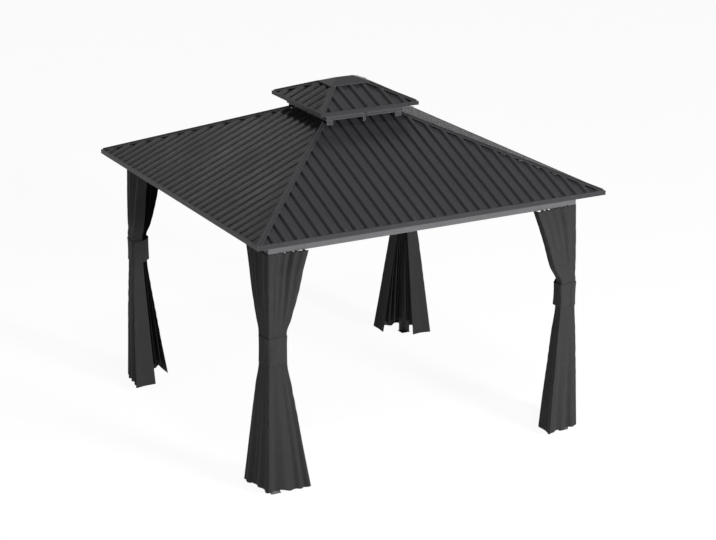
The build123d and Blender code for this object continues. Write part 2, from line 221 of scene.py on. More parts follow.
# %% Settled dust
dust_group, dust_in, dust_out = new_group(
    "settled_dust",
    [("Amount", 0.3), ("Patch Scale", 6.0)],
    [("Mask", "NodeSocketFloat")],
)
dust_surface = dust_group.nodes.new("ShaderNodeNewGeometry")
facing = dust_group.nodes.new("ShaderNodeSeparateXYZ")
dust_group.links.new(dust_surface.outputs["Normal"], facing.inputs[0])
upward = math_node(dust_group, "MULTIPLY", facing.outputs["Z"], 1.0, clamp=True)
upward = math_node(dust_group, "POWER", upward, 2.0)
dust_coords = dust_group.nodes.new("ShaderNodeTexCoord").outputs["Object"]
drift = noise_node(dust_group, dust_coords, dust_in.outputs["Patch Scale"], 6.0, 0.7)
DRIFT_START = 0.35                     # noise below this leaves the paint clean
drift = math_node(dust_group, "SUBTRACT", drift, DRIFT_START, clamp=True)
dusty = math_node(dust_group, "MULTIPLY", upward, drift)
dusty = math_node(dust_group, "MULTIPLY", dusty, dust_in.outputs["Amount"], clamp=True)
dust_group.links.new(dusty, dust_out.inputs["Mask"])
print("group:", dust_group.name)

# %% [markdown]
# ## Finishes
#
# The roof, frame and fittings are the same kind of surface in different shades: baked
# powder paint on steel or aluminium. It could be a metal under a clear coat, but such paint
# hides the metal, so a plain dark base with a weak shine is closer. One function builds it
# from the three groups, with the numbers that differ as arguments. The weak shine is one
# number for the whole piece, so it sits on the shader's own socket.

# %% Painted metal


def place_group(tree, group, **values):
    """Put a group into a material and set its inputs; underscores stand for spaces."""
    node = tree.nodes.new("ShaderNodeGroup")
    node.node_tree = group
    for label, value in values.items():
        node.inputs[label.replace("_", " ")].default_value = value
    return node


def mix_colours(tree, mask, first, second):
    """A colour mix; first and second are RGB triples or output sockets."""
    node = tree.nodes.new("ShaderNodeMix")
    node.data_type = "RGBA"
    tree.links.new(mask, node.inputs["Factor"])
    for socket, value in ((node.inputs["A"], first), (node.inputs["B"], second)):
        if isinstance(value, tuple):
            socket.default_value = (*value, 1.0)
        else:
            tree.links.new(value, socket)
    return node.outputs["Result"]


def bump_node(tree, height, distance, strength=1.0):
    """A Bump node for a height given in shares of distance, in metres."""
    node = tree.nodes.new("ShaderNodeBump")
    node.inputs["Strength"].default_value = strength
    node.inputs["Distance"].default_value = distance
    tree.links.new(height, node.inputs["Height"])
    return node.outputs["Normal"]


BARE_METAL = (0.32, 0.32, 0.33)
DUST_COLOUR = (0.23, 0.22, 0.21)
CLOUD_TONE = 0.14                      # how far the tone drifts to each side
CLOUD_ROUGHNESS = 0.16                 # how far the roughness drifts in all
PEEL_HEIGHT = 0.00012


def tone_range(colour, share):
    """A darker and a lighter shade of a colour, the same share away on each side."""
    return tuple((1 - share) * c for c in colour), tuple((1 + share) * c for c in colour)


def painted_metal(name, colour, roughness, specular=0.12, wear=0.4, dust=0.3):
    """Baked powder paint over metal, with cloudy tone, worn folds and a little dust."""
    material = bpy.data.materials.new(name)
    material.use_nodes = True
    tree = material.node_tree
    shader = tree.nodes["Principled BSDF"]
    grain = place_group(tree, grain_group, Peel_Scale=420.0, Cloud_Scale=2.2)
    worn = place_group(tree, wear_group, Amount=wear, Breakup_Scale=26.0)
    dusted = place_group(tree, dust_group, Amount=dust, Patch_Scale=5.0)
    paint = mix_colours(tree, grain.outputs["Clouds"], *tone_range(colour, CLOUD_TONE))
    paint = mix_colours(tree, dusted.outputs["Mask"], paint, DUST_COLOUR)
    paint = mix_colours(tree, worn.outputs["Mask"], paint, BARE_METAL)
    tree.links.new(paint, shader.inputs["Base Color"])
    rough = math_node(tree, "MULTIPLY", grain.outputs["Clouds"], CLOUD_ROUGHNESS)
    rough = math_node(tree, "ADD", rough, roughness - CLOUD_ROUGHNESS / 2)
    dull = math_node(tree, "MULTIPLY", dusted.outputs["Mask"], 0.3)
    rough = math_node(tree, "ADD", rough, dull, clamp=True)
    tree.links.new(rough, shader.inputs["Roughness"])
    shader.inputs["Specular IOR Level"].default_value = specular
    peel_normal = bump_node(tree, grain.outputs["Height"], PEEL_HEIGHT)
    tree.links.new(peel_normal, shader.inputs["Normal"])
    return material


ROOF_PAINT = painted_metal(
    "roof_paint", (0.034, 0.033, 0.036), 0.28, specular=0.075, wear=0.10, dust=0.02)
CAP_PAINT = painted_metal(
    "cap_paint", (0.036, 0.035, 0.038), 0.34, specular=0.09, wear=0.20, dust=0.02)
FRAME_PAINT = painted_metal("frame_paint", (0.045, 0.045, 0.048), 0.45, wear=0.3, dust=0.05)
BEAM_PAINT = painted_metal("beam_paint", (0.100, 0.100, 0.105), 0.40, wear=0.2, dust=0.05)
POST_PAINT = painted_metal("post_paint", (0.100, 0.100, 0.105), 0.40, wear=0.2, dust=0.05)
print("painted finishes ready")

# %% [markdown]
# ## Fabric
#
# The curtains are a plain-woven polyester. The weave follows the cloth's own UV map, which
# is laid out in metres, so the threads keep their size and run with every fold. Modelled
# threads would need millions of faces, and from a few steps away a bump looks the same. A
# sheen on the shader gives the soft bright edge that such cloth has at grazing angles.

# %% Node group: plain weave
THREADS_PER_METRE = 900.0
SLUB_SCALE = 60.0
SLUB_STRETCH = (1.0, 0.12, 1.0)        # slubs are long along the thread
weave_group, weave_in, weave_out = new_group(
    "plain_weave",
    [("Threads per Metre", THREADS_PER_METRE), ("Slub Scale", SLUB_SCALE)],
    [("Height", "NodeSocketFloat"), ("Tone", "NodeSocketFloat")],
)
weave_uv = weave_group.nodes.new("ShaderNodeTexCoord").outputs["UV"]
split_uv = weave_group.nodes.new("ShaderNodeSeparateXYZ")
weave_group.links.new(weave_uv, split_uv.inputs[0])
threads = weave_in.outputs["Threads per Metre"]
thread_angle = math_node(weave_group, "MULTIPLY", threads, math.pi)
warp = math_node(weave_group, "MULTIPLY", split_uv.outputs["X"], thread_angle)
weft = math_node(weave_group, "MULTIPLY", split_uv.outputs["Y"], thread_angle)
warp_wave = math_node(weave_group, "SINE", warp)
weft_wave = math_node(weave_group, "SINE", weft)
crossing = math_node(weave_group, "MULTIPLY", warp_wave, weft_wave)
stretched = weave_group.nodes.new("ShaderNodeMapping")
stretched.inputs["Scale"].default_value = SLUB_STRETCH
weave_group.links.new(weave_uv, stretched.inputs["Vector"])
slub_scale = weave_in.outputs["Slub Scale"]
slubs = noise_node(weave_group, stretched.outputs["Vector"], slub_scale, 4.0, 0.6)
thread_height = math_node(weave_group, "MULTIPLY", crossing, 0.35)
weave_height = math_node(weave_group, "ADD", thread_height, slubs)
weave_group.links.new(weave_height, weave_out.inputs["Height"])
weave_group.links.new(slubs, weave_out.inputs["Tone"])
print("group:", weave_group.name)

# %% Curtain fabric
WEAVE_HEIGHT = 0.0006
SLUB_TONE = 0.18


def woven_fabric(name, colour, sheen):
    """Plain-woven cloth whose UV map is in metres."""
    material = bpy.data.materials.new(name)
    material.use_nodes = True
    tree = material.node_tree
    shader = tree.nodes["Principled BSDF"]
    weave = place_group(
        tree, weave_group, Threads_per_Metre=THREADS_PER_METRE, Slub_Scale=SLUB_SCALE)
    cloth = mix_colours(tree, weave.outputs["Tone"], *tone_range(colour, SLUB_TONE))
    tree.links.new(cloth, shader.inputs["Base Color"])
    shader.inputs["Roughness"].default_value = 0.78
    shader.inputs["Specular IOR Level"].default_value = 0.08
    shader.inputs["Sheen Weight"].default_value = sheen
    shader.inputs["Sheen Roughness"].default_value = 0.45
    weave_normal = bump_node(tree, weave.outputs["Height"], WEAVE_HEIGHT, 0.7)
    tree.links.new(weave_normal, shader.inputs["Normal"])
    return material


CURTAIN_CLOTH = woven_fabric("curtain_cloth", (0.030, 0.029, 0.030), 0.05)
TIE_CLOTH = woven_fabric("tie_cloth", (0.032, 0.031, 0.032), 0.05)
print("fabrics:", CURTAIN_CLOTH.name, TIE_CLOTH.name)

# %% [markdown]
# ## Dressing the solids
#
# The ribbed sheets, trims, rafters, beams, rails and posts already have their true shape, so
# modelling them again could only make them worse. They keep their meshes and only get a
# finish, through their material slots. Sheets and caps are darkest, and the beams, posts
# and rails are a lighter grey.

# %% Finishes for the solids


def dress(node, material):
    """Give a solid its finish, on every slot that it has."""
    data = nodes[node].data
    if not data.materials:
        data.materials.append(material)
    for index in range(len(data.materials)):
        data.materials[index] = material


RAIL_FINISH = painted_metal("rail_finish", (0.10, 0.10, 0.105), 0.36, wear=0.3, dust=0.0)
SIDE_FINISHES = {
    "roof_panel": ROOF_PAINT, "upper_panel": ROOF_PAINT, "eave_trim": CAP_PAINT,
    "vent_rail": FRAME_PAINT, "mid_rafter": FRAME_PAINT, "beam": BEAM_PAINT,
    "curtain_rail": RAIL_FINISH,
}
CORNER_FINISHES = {"hip_cap": CAP_PAINT, "hip_rafter": FRAME_PAINT, "post": POST_PAINT}
for places, finishes in ((SIDES, SIDE_FINISHES), (CORNERS, CORNER_FINISHES)):
    for place in places:
        for kind, finish in finishes.items():
            dress(f"{place}_{kind}", finish)
dress("upper_roof_cap", CAP_PAINT)
dress("crown_hub", FRAME_PAINT)
print("solids dressed:", len(nodes))

# %% [markdown]
# ## The curtains
#
# Each corner has one long curtain. It hangs from both rails in deep folds, passes round the
# outside of the post, and is tied to it at waist height. Below the strap it flares again.
#
# A cloth this size could be dropped from flat, but then the gathers fall where they like.
# Here a path is drawn for every height instead, which fixes the outline. A short cloth
# simulation then settles that shape.
#
# A leaf is laid out in its own two directions, both measured from the post's outer corner:
# *a* runs along the rail, and *b* points into the gazebo. Both leaves use the same layout,
# with the two directions swapped.

# %% Curtain outline at each height
HEADING = RAIL_BOTTOM - 0.003          # top edge of the cloth, below the rail
RUFFLE = 0.012                         # the outer layer stands this much higher
HEM = 0.036                            # mean height of the bottom edge, before its waves
POST_CLEAR = POST_LEG + 0.006          # folds start this far along the rail, past the post
WAISTS = {                             # foot and head of each strap
    "front_left": (1.046, 1.256), "front_right": (1.078, 1.266),
    "back_right": (1.078, 1.270), "back_left": (1.102, 1.292),
}
# One value for each of: hem, three heights below the strap, its foot and head, three
# heights above it, heading.
LEVELS_BELOW, LEVELS_ABOVE = (HEM, 0.30, 0.60, 0.85), (1.40, 1.60, 1.75, HEADING)
OUTLINE = {
    "reach": (0.287, 0.243, 0.198, 0.160, 0.132, 0.132, 0.176, 0.238, 0.274, 0.318),
    "flare": (0.108, 0.091, 0.070, 0.050, 0.030, 0.030, 0.034, 0.036, 0.036, 0.034),
    "bulge": (0.052, 0.043, 0.034, 0.024, 0.014, 0.014, 0.013, 0.012, 0.009, 0.006),
    "depth": (0.100, 0.092, 0.084, 0.078, 0.072, 0.072, 0.071, 0.068, 0.065, 0.062),
    "valley": (0.050, 0.042, 0.033, 0.020, 0.004, 0.004, 0.022, 0.034, 0.038, 0.036),
}
OTHER_REACH = {                        # for a corner and leaf that hang differently; 0 is along X
    ("front_right", 0): (0.252, 0.226, 0.190, 0.162, 0.132, 0.132, 0.196, 0.264, 0.320, 0.378),
}
print("curtain hangs from", round(HEADING, 3), "to", HEM)


# %% Reading the outline


def outline_at(corner, key, height, leaf=1):
    """One size of the gathered curtain at a height, smoothly between the listed ones."""
    heights = np.array(LEVELS_BELOW + WAISTS[corner] + LEVELS_ABOVE)
    listed = OUTLINE[key]
    if key == "reach":
        listed = OTHER_REACH.get((corner, leaf), listed)
    values = np.array(listed)
    slopes = np.gradient(values, heights)
    slopes[4:6] = 0.0                  # straight under the strap
    i = int(np.clip(np.searchsorted(heights, height) - 1, 0, len(heights) - 2))
    span = heights[i + 1] - heights[i]
    t = float(np.clip((height - heights[i]) / span, 0.0, 1.0))
    return float(
        (2 * t**3 - 3 * t**2 + 1) * values[i]
        + (t**3 - 2 * t**2 + t) * span * slopes[i]
        + (3 * t**2 - 2 * t**3) * values[i + 1]
        + (t**3 - t**2) * span * slopes[i + 1]
    )


def looseness(corner, height):
    """0 at the strap, 1 at the heading and at the hem."""
    foot, head = WAISTS[corner]
    if height > head:
        return (height - head) / (HEADING - head)
    return max(0.0, (foot - height) / (foot - HEM))


# %% [markdown]
# ### Folds
#
# The outer layer has a few soft ridges with valleys between them. No two are alike, so
# their widths, depths and lean are drawn from a seeded generator. Above the strap they fan
# out to the hooks, and below it they fan out to the hem. The spare cloth is folded to and
# fro behind the outer layer, as deep as the leaf.

# %% Folds of the outer layer
FOLDS_ABOVE, FOLDS_BELOW, FOLDS_TIED = 5, 4, 9
NARROWEST, WIDEST = 0.55, 1.45         # widths of folds, as shares of their mean
SHALLOWEST = 0.30


def fold_set(rng, many):
    """Edges, valley depths and lean of the folds across one leaf."""
    widths = rng.uniform(NARROWEST, WIDEST, many)
    edges = np.concatenate(([0.0], np.cumsum(widths))) / widths.sum()
    return edges, rng.uniform(SHALLOWEST, 1.0, many + 1), rng.uniform(-0.10, 0.10, 2)


def valley_share(folds, share, loose):
    """How deep the cloth dips at each share of the leaf: 0 on a ridge, 1 in a valley."""
    edges, depths, lean = folds
    shift = lean[0] * (1 - loose) + lean[1] * math.sin(2.6 * loose)
    bent = share + shift * np.sin(np.pi * share)
    phase = np.interp(bent, edges, np.arange(len(edges)))
    return np.cos(np.pi * phase) ** 2 * np.interp(phase, np.arange(len(depths)), depths)


print("folds in the outer layer:", FOLDS_ABOVE, "above the strap and", FOLDS_BELOW, "below")


# %% One leaf
ACCORDION, EDGE, FACE = 64, 7, 38      # points along the folds, the free edge and the face
FOLDS_BEHIND = 5
SKIN = 0.003                           # outer cloth keeps this far off the post
BEHIND_FACE = 0.008                    # inner folds start this far behind the outer cloth
EDGE_ROUND = 0.012                     # the free edge bulges past the last fold by this
NEAREST_FOLD = 0.056                   # depth of the inner folds beside the post


def outer_face(corner, height, size, loose, style):
    """Points (a, b) of the outer face, from the free edge to the post's corner."""
    share = np.linspace(1.0, 0.0, FACE)
    face_a = -size["bulge"] + (size["reach"] + size["bulge"]) * share
    kind = "above" if height > WAISTS[corner][0] else "below"
    dip = loose**0.5 * valley_share(style[kind], share, loose)
    dip += (1 - loose) ** 4 * 0.8 * valley_share(style["tied"], share, 0.0)
    ends = np.clip(np.minimum(share, 1 - share) / 0.10, 0, 1)
    dip = size["valley"] * dip * ends * ends * (3 - 2 * ends)
    line = -(size["bulge"] + (size["flare"] - size["bulge"]) * share)
    clear = np.where(face_a < POST_CLEAR + 0.004, -line - SKIN, 1.0)
    return np.stack([face_a, line + np.minimum(dip, clear)], axis=1)


def leaf_path(corner, leaf, height, style):
    """Points (a, b) of one leaf at a height: from beside the post, out to the free edge,
    and back over the outer face to the post's corner."""
    size = {key: outline_at(corner, key, height, leaf) for key in OUTLINE}
    loose = looseness(corner, height)
    face = outer_face(corner, height, size, loose, style)

    t = np.linspace(0.0, 1.0, ACCORDION)
    wander = style["wander"][0] * np.sin(2 * np.pi * t + style["wander"][1] + 2.0 * height)
    last_fold = size["reach"] - EDGE_ROUND
    a = POST_CLEAR + (last_fold - POST_CLEAR) * (t + wander * t * (1 - t))
    near = np.interp(a, face[::-1, 0], face[::-1, 1]) + BEHIND_FACE
    far = NEAREST_FOLD + (size["depth"] - NEAREST_FOLD) * t
    ripple = np.interp(FOLDS_BEHIND * t, np.arange(FOLDS_BEHIND + 1), style["inner"])
    far -= ripple * (0.006 + 0.030 * loose) * (t < 0.97)
    swing = np.cos(2 * np.pi * FOLDS_BEHIND * (1 - t))
    swing = np.arcsin(0.96 * swing) / math.asin(0.96)
    behind = np.stack([a, (near + far) / 2 + (far - near) / 2 * swing], axis=1)

    t = np.linspace(0.0, 1.0, EDGE + 2)[1:-1]
    edge_a = last_fold + EDGE_ROUND * t**0.6
    edge_a -= style["edge"] * loose * 0.030 * np.sin(np.pi * t) ** 2
    edge = np.stack([edge_a, size["depth"] + (-size["flare"] - size["depth"]) * t], axis=1)
    return np.concatenate([behind, edge, face])


print("points in a leaf:", ACCORDION + EDGE + FACE)

# %% The whole path
COLUMNS = 2 * (ACCORDION + EDGE + FACE) - 1
CORNER_COLUMN = ACCORDION + EDGE + FACE - 1


def soften(points, times):
    """Rounds the turns of a path a little; its ends stay where they are."""
    for _ in range(times):
        points[1:-1] = 0.25 * points[:-2] + 0.5 * points[1:-1] + 0.25 * points[2:]
    return points


def curtain_path(corner, height, styles):
    """Plan of the curtain at one height, measured inward from the post's outer corner."""
    one = leaf_path(corner, 0, height, styles[0])
    two = leaf_path(corner, 1, height, styles[1])[:, ::-1]
    return soften(np.concatenate([one, two[::-1][1:]]), 2)


print("columns of cloth:", COLUMNS)

# %% [markdown]
# ### From rows to cloth
#
# The heading sags between the hooks, which hold each fold where it crosses the rail. The
# hem is higher inside than outside, because the strap draws the inner folds up. Both are
# edges of the same grid, so the rows are spread between them column by column. A grid also
# gives the simulation even faces, and the weave a map in metres.

# %% Edges of the cloth
RAIL_IN = FRAME_HALF - RAIL_LINE       # rail's middle, inward from the post's outer face
LEAST_SAG, MOST_SAG = 0.002, 0.007
HEM_WAVES = ((0.007, 27.0), (0.004, 12.0))  # height of each wave, and its columns


def rail_crossings(plan):
    """Columns at which the folds pass under the rails."""
    found = []
    for first, last, along in ((0, ACCORDION, 1), (COLUMNS - ACCORDION, COLUMNS - 1, 0)):
        for column in range(first, last):
            low, high = sorted((plan[column, along], plan[column + 1, along]))
            if low <= RAIL_IN < high:
                found.append(column)
    return found


def heading_sag(rng, hooks):
    """How far the top edge hangs below the hooks, per column."""
    column = np.arange(COLUMNS)
    stops = sorted(set(hooks) | {0, CORNER_COLUMN, COLUMNS - 1})
    sag = np.zeros(COLUMNS)
    for start, end in zip(stops[:-1], stops[1:]):
        inside = (column > start) & (column < end)
        deepest = rng.uniform(LEAST_SAG, MOST_SAG) * min(1.0, (end - start) / 12)
        arc = np.sin(np.pi * (column[inside] - start) / (end - start))
        sag[inside] = deepest * arc**0.8
    return sag


def hem_heights(rng, lift):
    """Height of the bottom edge, per column."""
    column = np.arange(COLUMNS)
    from_free_edge = np.maximum(ACCORDION - column, column - (COLUMNS - 1 - ACCORDION))
    inner = np.clip((from_free_edge - 2) / 12.0, 0.0, 1.0)
    phase = rng.uniform(0, 2 * np.pi, 2)
    wave = sum(tall * np.cos(2 * np.pi * column / long + turn)
               for (tall, long), turn in zip(HEM_WAVES, phase))
    return HEM + 0.012 + wave + lift * inner * inner * (3 - 2 * inner)


print("rail runs", round(RAIL_IN, 4), "inside the posts' outer faces")

# %% Each leaf's own folds


def leaf_style(rng):
    """What makes one leaf's folds its own."""
    return {
        "above": fold_set(rng, FOLDS_ABOVE), "below": fold_set(rng, FOLDS_BELOW),
        "tied": fold_set(rng, FOLDS_TIED), "inner": rng.uniform(0.0, 1.0, FOLDS_BEHIND + 1),
        "wander": (rng.uniform(0.2, 0.5), rng.uniform(0, 6.28)), "edge": rng.uniform(0.2, 1.0),
    }


def hand_folds(edges, depths, lean):
    """Folds that are listed one by one, in the form that fold_set gives."""
    return np.array(edges), np.array(depths), lean


HAND_FOLDS = {                         # on the leaf along X of the front curtains
    "front_left": {
        "above": hand_folds((0.0, 0.20, 0.37, 0.60, 0.80, 1.0),
                            (0.3, 0.8, 0.6, 1.2, 0.7, 0.3), (-0.05, 0.06)),
        "below": hand_folds((0.0, 0.16, 0.62, 0.84, 1.0),
                            (0.4, 0.6, 0.55, 0.7, 0.4), (0.04, -0.05)),
    },
    "front_right": {
        "above": hand_folds((0.0, 0.18, 0.45, 0.66, 0.85, 1.0),
                            (0.3, 0.6, 0.9, 0.6, 0.5, 0.3), (0.05, 0.05)),
        "below": hand_folds((0.0, 0.30, 0.70, 1.0), (0.4, 0.7, 0.5, 0.4), (0.04, -0.05)),
    },
}
print("folds placed by hand:", *HAND_FOLDS)

# %% Building the cloth grid
ROWS = 50


def place_rows(grid, row, corner, plan, heights):
    """Fill a row of a grid from its plan at a corner and its heights."""
    signs = CORNERS[corner]
    grid[row, :, 0] = signs[0] * (FRAME_HALF - plan[:, 0])
    grid[row, :, 1] = signs[1] * (FRAME_HALF - plan[:, 1])
    grid[row, :, 2] = heights


def curtain_grid(corner, seed, lift):
    """Rows of points for one corner, in the object's frame, and its hooks' places."""
    rng = np.random.default_rng(seed)
    styles = (leaf_style(rng), leaf_style(rng))
    styles[0].update(HAND_FOLDS.get(corner, {}))
    heading = curtain_path(corner, HEADING, styles)
    hooks = rail_crossings(heading)
    outer = np.abs(np.arange(COLUMNS) - CORNER_COLUMN) < FACE
    top = HEADING - heading_sag(rng, hooks) + RUFFLE * outer
    bottom = hem_heights(rng, lift)
    grid = np.zeros((ROWS, COLUMNS, 3))
    for row in range(ROWS):
        share = row / (ROWS - 1)
        plan = curtain_path(corner, HEM + share * (HEADING - HEM), styles)
        place_rows(grid, row, corner, plan, bottom + share * (top - bottom))
    return grid, hooks


def cloth_object(name, grid):
    """A quad mesh from a grid of points, with a UV map in metres."""
    rows, columns = grid.shape[:2]
    vertices = grid.reshape(-1, 3)
    faces = []
    for r in range(rows - 1):
        for c in range(columns - 1):
            a = r * columns + c
            faces.append((a, a + 1, a + columns + 1, a + columns))
    piece = mesh_piece(name, vertices, faces)
    steps = np.linalg.norm(np.diff(grid, axis=1), axis=2).mean(axis=0)
    across = np.concatenate(([0.0], np.cumsum(steps)))
    up = grid[:, :, 2].mean(axis=1)
    layer = piece.data.uv_layers.new(name="UVMap")
    for loop in piece.data.loops:
        r, c = divmod(loop.vertex_index, columns)
        layer.data[loop.index].uv = (across[c], up[r])
    return piece, float(across[-1])


def thicken(piece, thickness):
    """Round a cloth grid by one subdivision and give it the thickness of cloth."""
    smooth = piece.modifiers.new("Subdivision", "SUBSURF")
    smooth.levels = smooth.render_levels = 1
    thick = piece.modifiers.new("Solidify", "SOLIDIFY")
    thick.thickness = thickness
    thick.offset = 0.0


print("grid of", ROWS, "rows")


# %% [markdown]
# ### Settling the cloth
#
# In the simulation the heading and the strap hold the cloth fast. Everywhere else a softer
# hold keeps the outline, while the cloth is let out by one percent and hangs under its own
# weight. That relaxes the drawn folds, which are a little too regular. The result is
# applied, so the piece that is left is a plain mesh.

# %% Holding the cloth
SOFT_HOLD = 0.45
STRAP_GRIP = 0.02                      # the strap also holds this much above and below it


def hold_cloth(piece, corner, rows, columns):
    """A vertex group that holds the heading and the waist fast and the rest softly."""
    holds = piece.vertex_groups.new(name="holds")
    heights = np.array([v.co.z for v in piece.data.vertices]).reshape(rows, columns)
    foot, head = WAISTS[corner]
    for r in range(rows):
        tied = foot - STRAP_GRIP < float(heights[r].mean()) < head + STRAP_GRIP
        weight = 1.0 if tied or r == rows - 1 else SOFT_HOLD
        holds.add([r * columns + c for c in range(columns)], weight, "REPLACE")
    print(f"{piece.name}: {rows} rows held")


# %% Cloth simulation
LET_OUT = 0.010                        # the cloth may grow by this share
FARTHEST = 0.020                       # no point moves more than this


def settle_cloth(piece, corner, rows, columns, frames=22):
    """Simulate a held cloth for a few frames and keep the settled shape."""
    hold_cloth(piece, corner, rows, columns)
    modifier = piece.modifiers.new("Cloth", "CLOTH")
    cloth = modifier.settings
    cloth.quality = 6
    cloth.mass = 0.25
    cloth.tension_stiffness = 12
    cloth.compression_stiffness = 12
    cloth.shear_stiffness = 4
    cloth.bending_stiffness = 0.35
    cloth.tension_damping = 8
    cloth.compression_damping = 8
    cloth.air_damping = 2
    cloth.vertex_group_mass = "holds"
    cloth.pin_stiffness = 1.0
    cloth.shrink_min = -LET_OUT
    modifier.collision_settings.use_collision = False
    modifier.collision_settings.use_self_collision = False
    modifier.point_cache.frame_start = 1
    modifier.point_cache.frame_end = frames
    before = np.array([v.co for v in piece.data.vertices])
    for frame_number in range(1, frames + 1):
        bpy.context.scene.frame_set(frame_number)
    evaluated = piece.evaluated_get(bpy.context.evaluated_depsgraph_get())
    after = np.array([v.co for v in evaluated.data.vertices])
    moved = after - before
    far = np.linalg.norm(moved, axis=1)
    moved *= np.minimum(1.0, FARTHEST / np.maximum(far, 1e-9))[:, None]
    after = before + moved
    piece.modifiers.remove(modifier)
    piece.data.vertices.foreach_set("co", after.ravel())
    piece.data.update()
    bpy.context.scene.frame_set(1)
    print(f"{piece.name}: settled by up to {1000 * float(far.max()):.0f} mm")


# %% The four curtains
INNER_LIFT = {                         # how much higher the hem is inside than outside
    "front_left": 0.040, "front_right": 0.060, "back_right": 0.065, "back_left": 0.070,
}
FIRST_SEED = 11
CURTAIN_THICKNESS = 0.0012
curtains, hook_points = {}, {}
for seed, corner in enumerate(CORNERS):
    grid, hooks = curtain_grid(corner, FIRST_SEED + seed, INNER_LIFT[corner])
    hook_points[corner] = [grid[-1, column] for column in hooks]
    curtain, path_length = cloth_object(f"{corner}_curtain_cloth", grid)
    settle_cloth(curtain, corner, ROWS, COLUMNS)
    thicken(curtain, CURTAIN_THICKNESS)
    finish_piece(curtain, CURTAIN_CLOTH)
    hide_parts(f"{corner}_curtain")
    curtains[corner] = curtain
    print(f"{corner}: path {path_length:.2f} m")

# %% [markdown]
# ### The straps
#
# A strap is a wide band of the same cloth, wrapped round curtain and post and closed with a
# lap. It is pulled tight, so it hardly has folds to simulate. It is modelled straight from
# the waist outline, with slight puckers, and edges that stand off a little.

# %% Strap outline
STRAP_TURN = 0.022                     # radius of its turns in plan


def strap_outline(corner):
    """Closed plan outline of the strap, as one smooth convex loop."""
    middle = sum(WAISTS[corner]) / 2
    size = {key: outline_at(corner, key, middle) for key in OUTLINE}
    corners = [(-size["bulge"], -size["bulge"]), (size["reach"], -size["flare"]),
               (size["reach"], size["depth"]), (size["depth"], size["reach"]),
               (-size["flare"], size["reach"])]
    points = []
    for k, point in enumerate(corners):
        here = Vector(point)
        before = (Vector(corners[k - 1]) - here).normalized()
        after = (Vector(corners[(k + 1) % len(corners)]) - here).normalized()
        cut = STRAP_TURN / math.tan(before.angle(after) / 2)
        start, end = here + before * cut, here + after * cut
        for t in np.linspace(0, 1, 9):
            points.append(start.lerp(here, t).lerp(here.lerp(end, t), t))
    return points


def even_loop(points, count):
    """The same closed loop with its points evenly spaced."""
    ring = np.array([tuple(p) for p in points + points[:1]])
    lengths = np.concatenate(([0.0], np.cumsum(np.linalg.norm(np.diff(ring, axis=0), axis=1))))
    targets = np.linspace(0, lengths[-1], count, endpoint=False)
    return np.stack([np.interp(targets, lengths, ring[:, axis]) for axis in (0, 1)], axis=1)


print("strap turns at", STRAP_TURN)

# %% Tie straps
STRAP_ROWS = 12
STRAP_COLUMNS, LAP_COLUMNS = 150, 18
STRAP_LIFT = 0.0035                    # strap stands this far off the cloth
EDGE_LIFT = 0.0022                     # its edges stand off by this much more
LAP_LIFT, LAP_DROP = 0.0028, 0.004     # the lap lies on the first layer, slightly lower
STRAP_SAG = 0.004
STRAP_THICKNESS = 0.0018
FIRST_STRAP_SEED = 40


def tie_strap(corner, seed):
    """A wide cloth strap with a lap, puckered slightly where it is pulled tight."""
    rng = np.random.default_rng(seed)
    phase = rng.uniform(0, 2 * np.pi, 4)
    foot, head = WAISTS[corner]
    loop = even_loop(strap_outline(corner), STRAP_COLUMNS)
    along = np.roll(loop, -1, axis=0) - np.roll(loop, 1, axis=0)
    along /= np.linalg.norm(along, axis=1)[:, None]
    outward = np.stack([along[:, 1], -along[:, 0]], axis=1)
    angle = 2 * np.pi * np.arange(STRAP_COLUMNS) / STRAP_COLUMNS
    sag = STRAP_SAG * np.sin(angle + phase[2])
    drop = np.concatenate([sag, sag[:LAP_COLUMNS] - LAP_DROP])
    grid = np.zeros((STRAP_ROWS, STRAP_COLUMNS + LAP_COLUMNS, 3))
    for row in range(STRAP_ROWS):
        share = row / (STRAP_ROWS - 1)
        pucker = 0.0016 * np.sin(3 * angle + phase[0] + 2.0 * share)
        pucker = pucker + 0.0012 * np.sin(7 * angle + phase[1] - 3.0 * share)
        off = STRAP_LIFT + pucker + EDGE_LIFT * (2 * abs(share - 0.5)) ** 3
        ring = loop + outward * off[:, None]
        lap = ring[:LAP_COLUMNS] + outward[:LAP_COLUMNS] * LAP_LIFT
        height = foot + share * (head - foot)
        place_rows(grid, row, corner, np.concatenate([ring, lap]), height + drop)
    strap, around = cloth_object(f"{corner}_tie_strap", grid)
    thicken(strap, STRAP_THICKNESS)
    finish_piece(strap, TIE_CLOTH)
    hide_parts(f"{corner}_tie_band")


for k, corner in enumerate(CORNERS):
    tie_strap(corner, FIRST_STRAP_SEED + k)

# %% [markdown]
# ### Hooks and gliders
#
# Small nylon gliders run in the slot of the rail. Each carries a wire hook that picks up
# the heading of the cloth. There are many and they are tiny, so each kind is one mesh per
# corner: rounded blocks for the gliders, and plain rings for the hooks.

# %% Blocks and rings


def circle(radius, count, height=0.0):
    """Points of a level circle."""
    angles = [2 * math.pi * i / count for i in range(count)]
    return [Vector((radius * math.cos(a), radius * math.sin(a), height)) for a in angles]


def join_loops(bm, first, second):
    """Quads between two loops of as many vertices."""
    for i in range(len(first)):
        j = (i + 1) % len(first)
        bm.faces.new((first[i], first[j], second[j], second[i]))


def add_block(bm, centre, size):
    """A small box with bevelled edges."""
    made = bmesh.ops.create_cube(bm, size=1.0)["verts"]
    bmesh.ops.scale(bm, vec=size, verts=made)
    bmesh.ops.translate(bm, vec=centre, verts=made)
    edges = list({e for v in made for e in v.link_edges})
    bmesh.ops.bevel(
        bm, geom=edges, offset=0.12 * min(size), segments=2, affect="EDGES", profile=0.6)


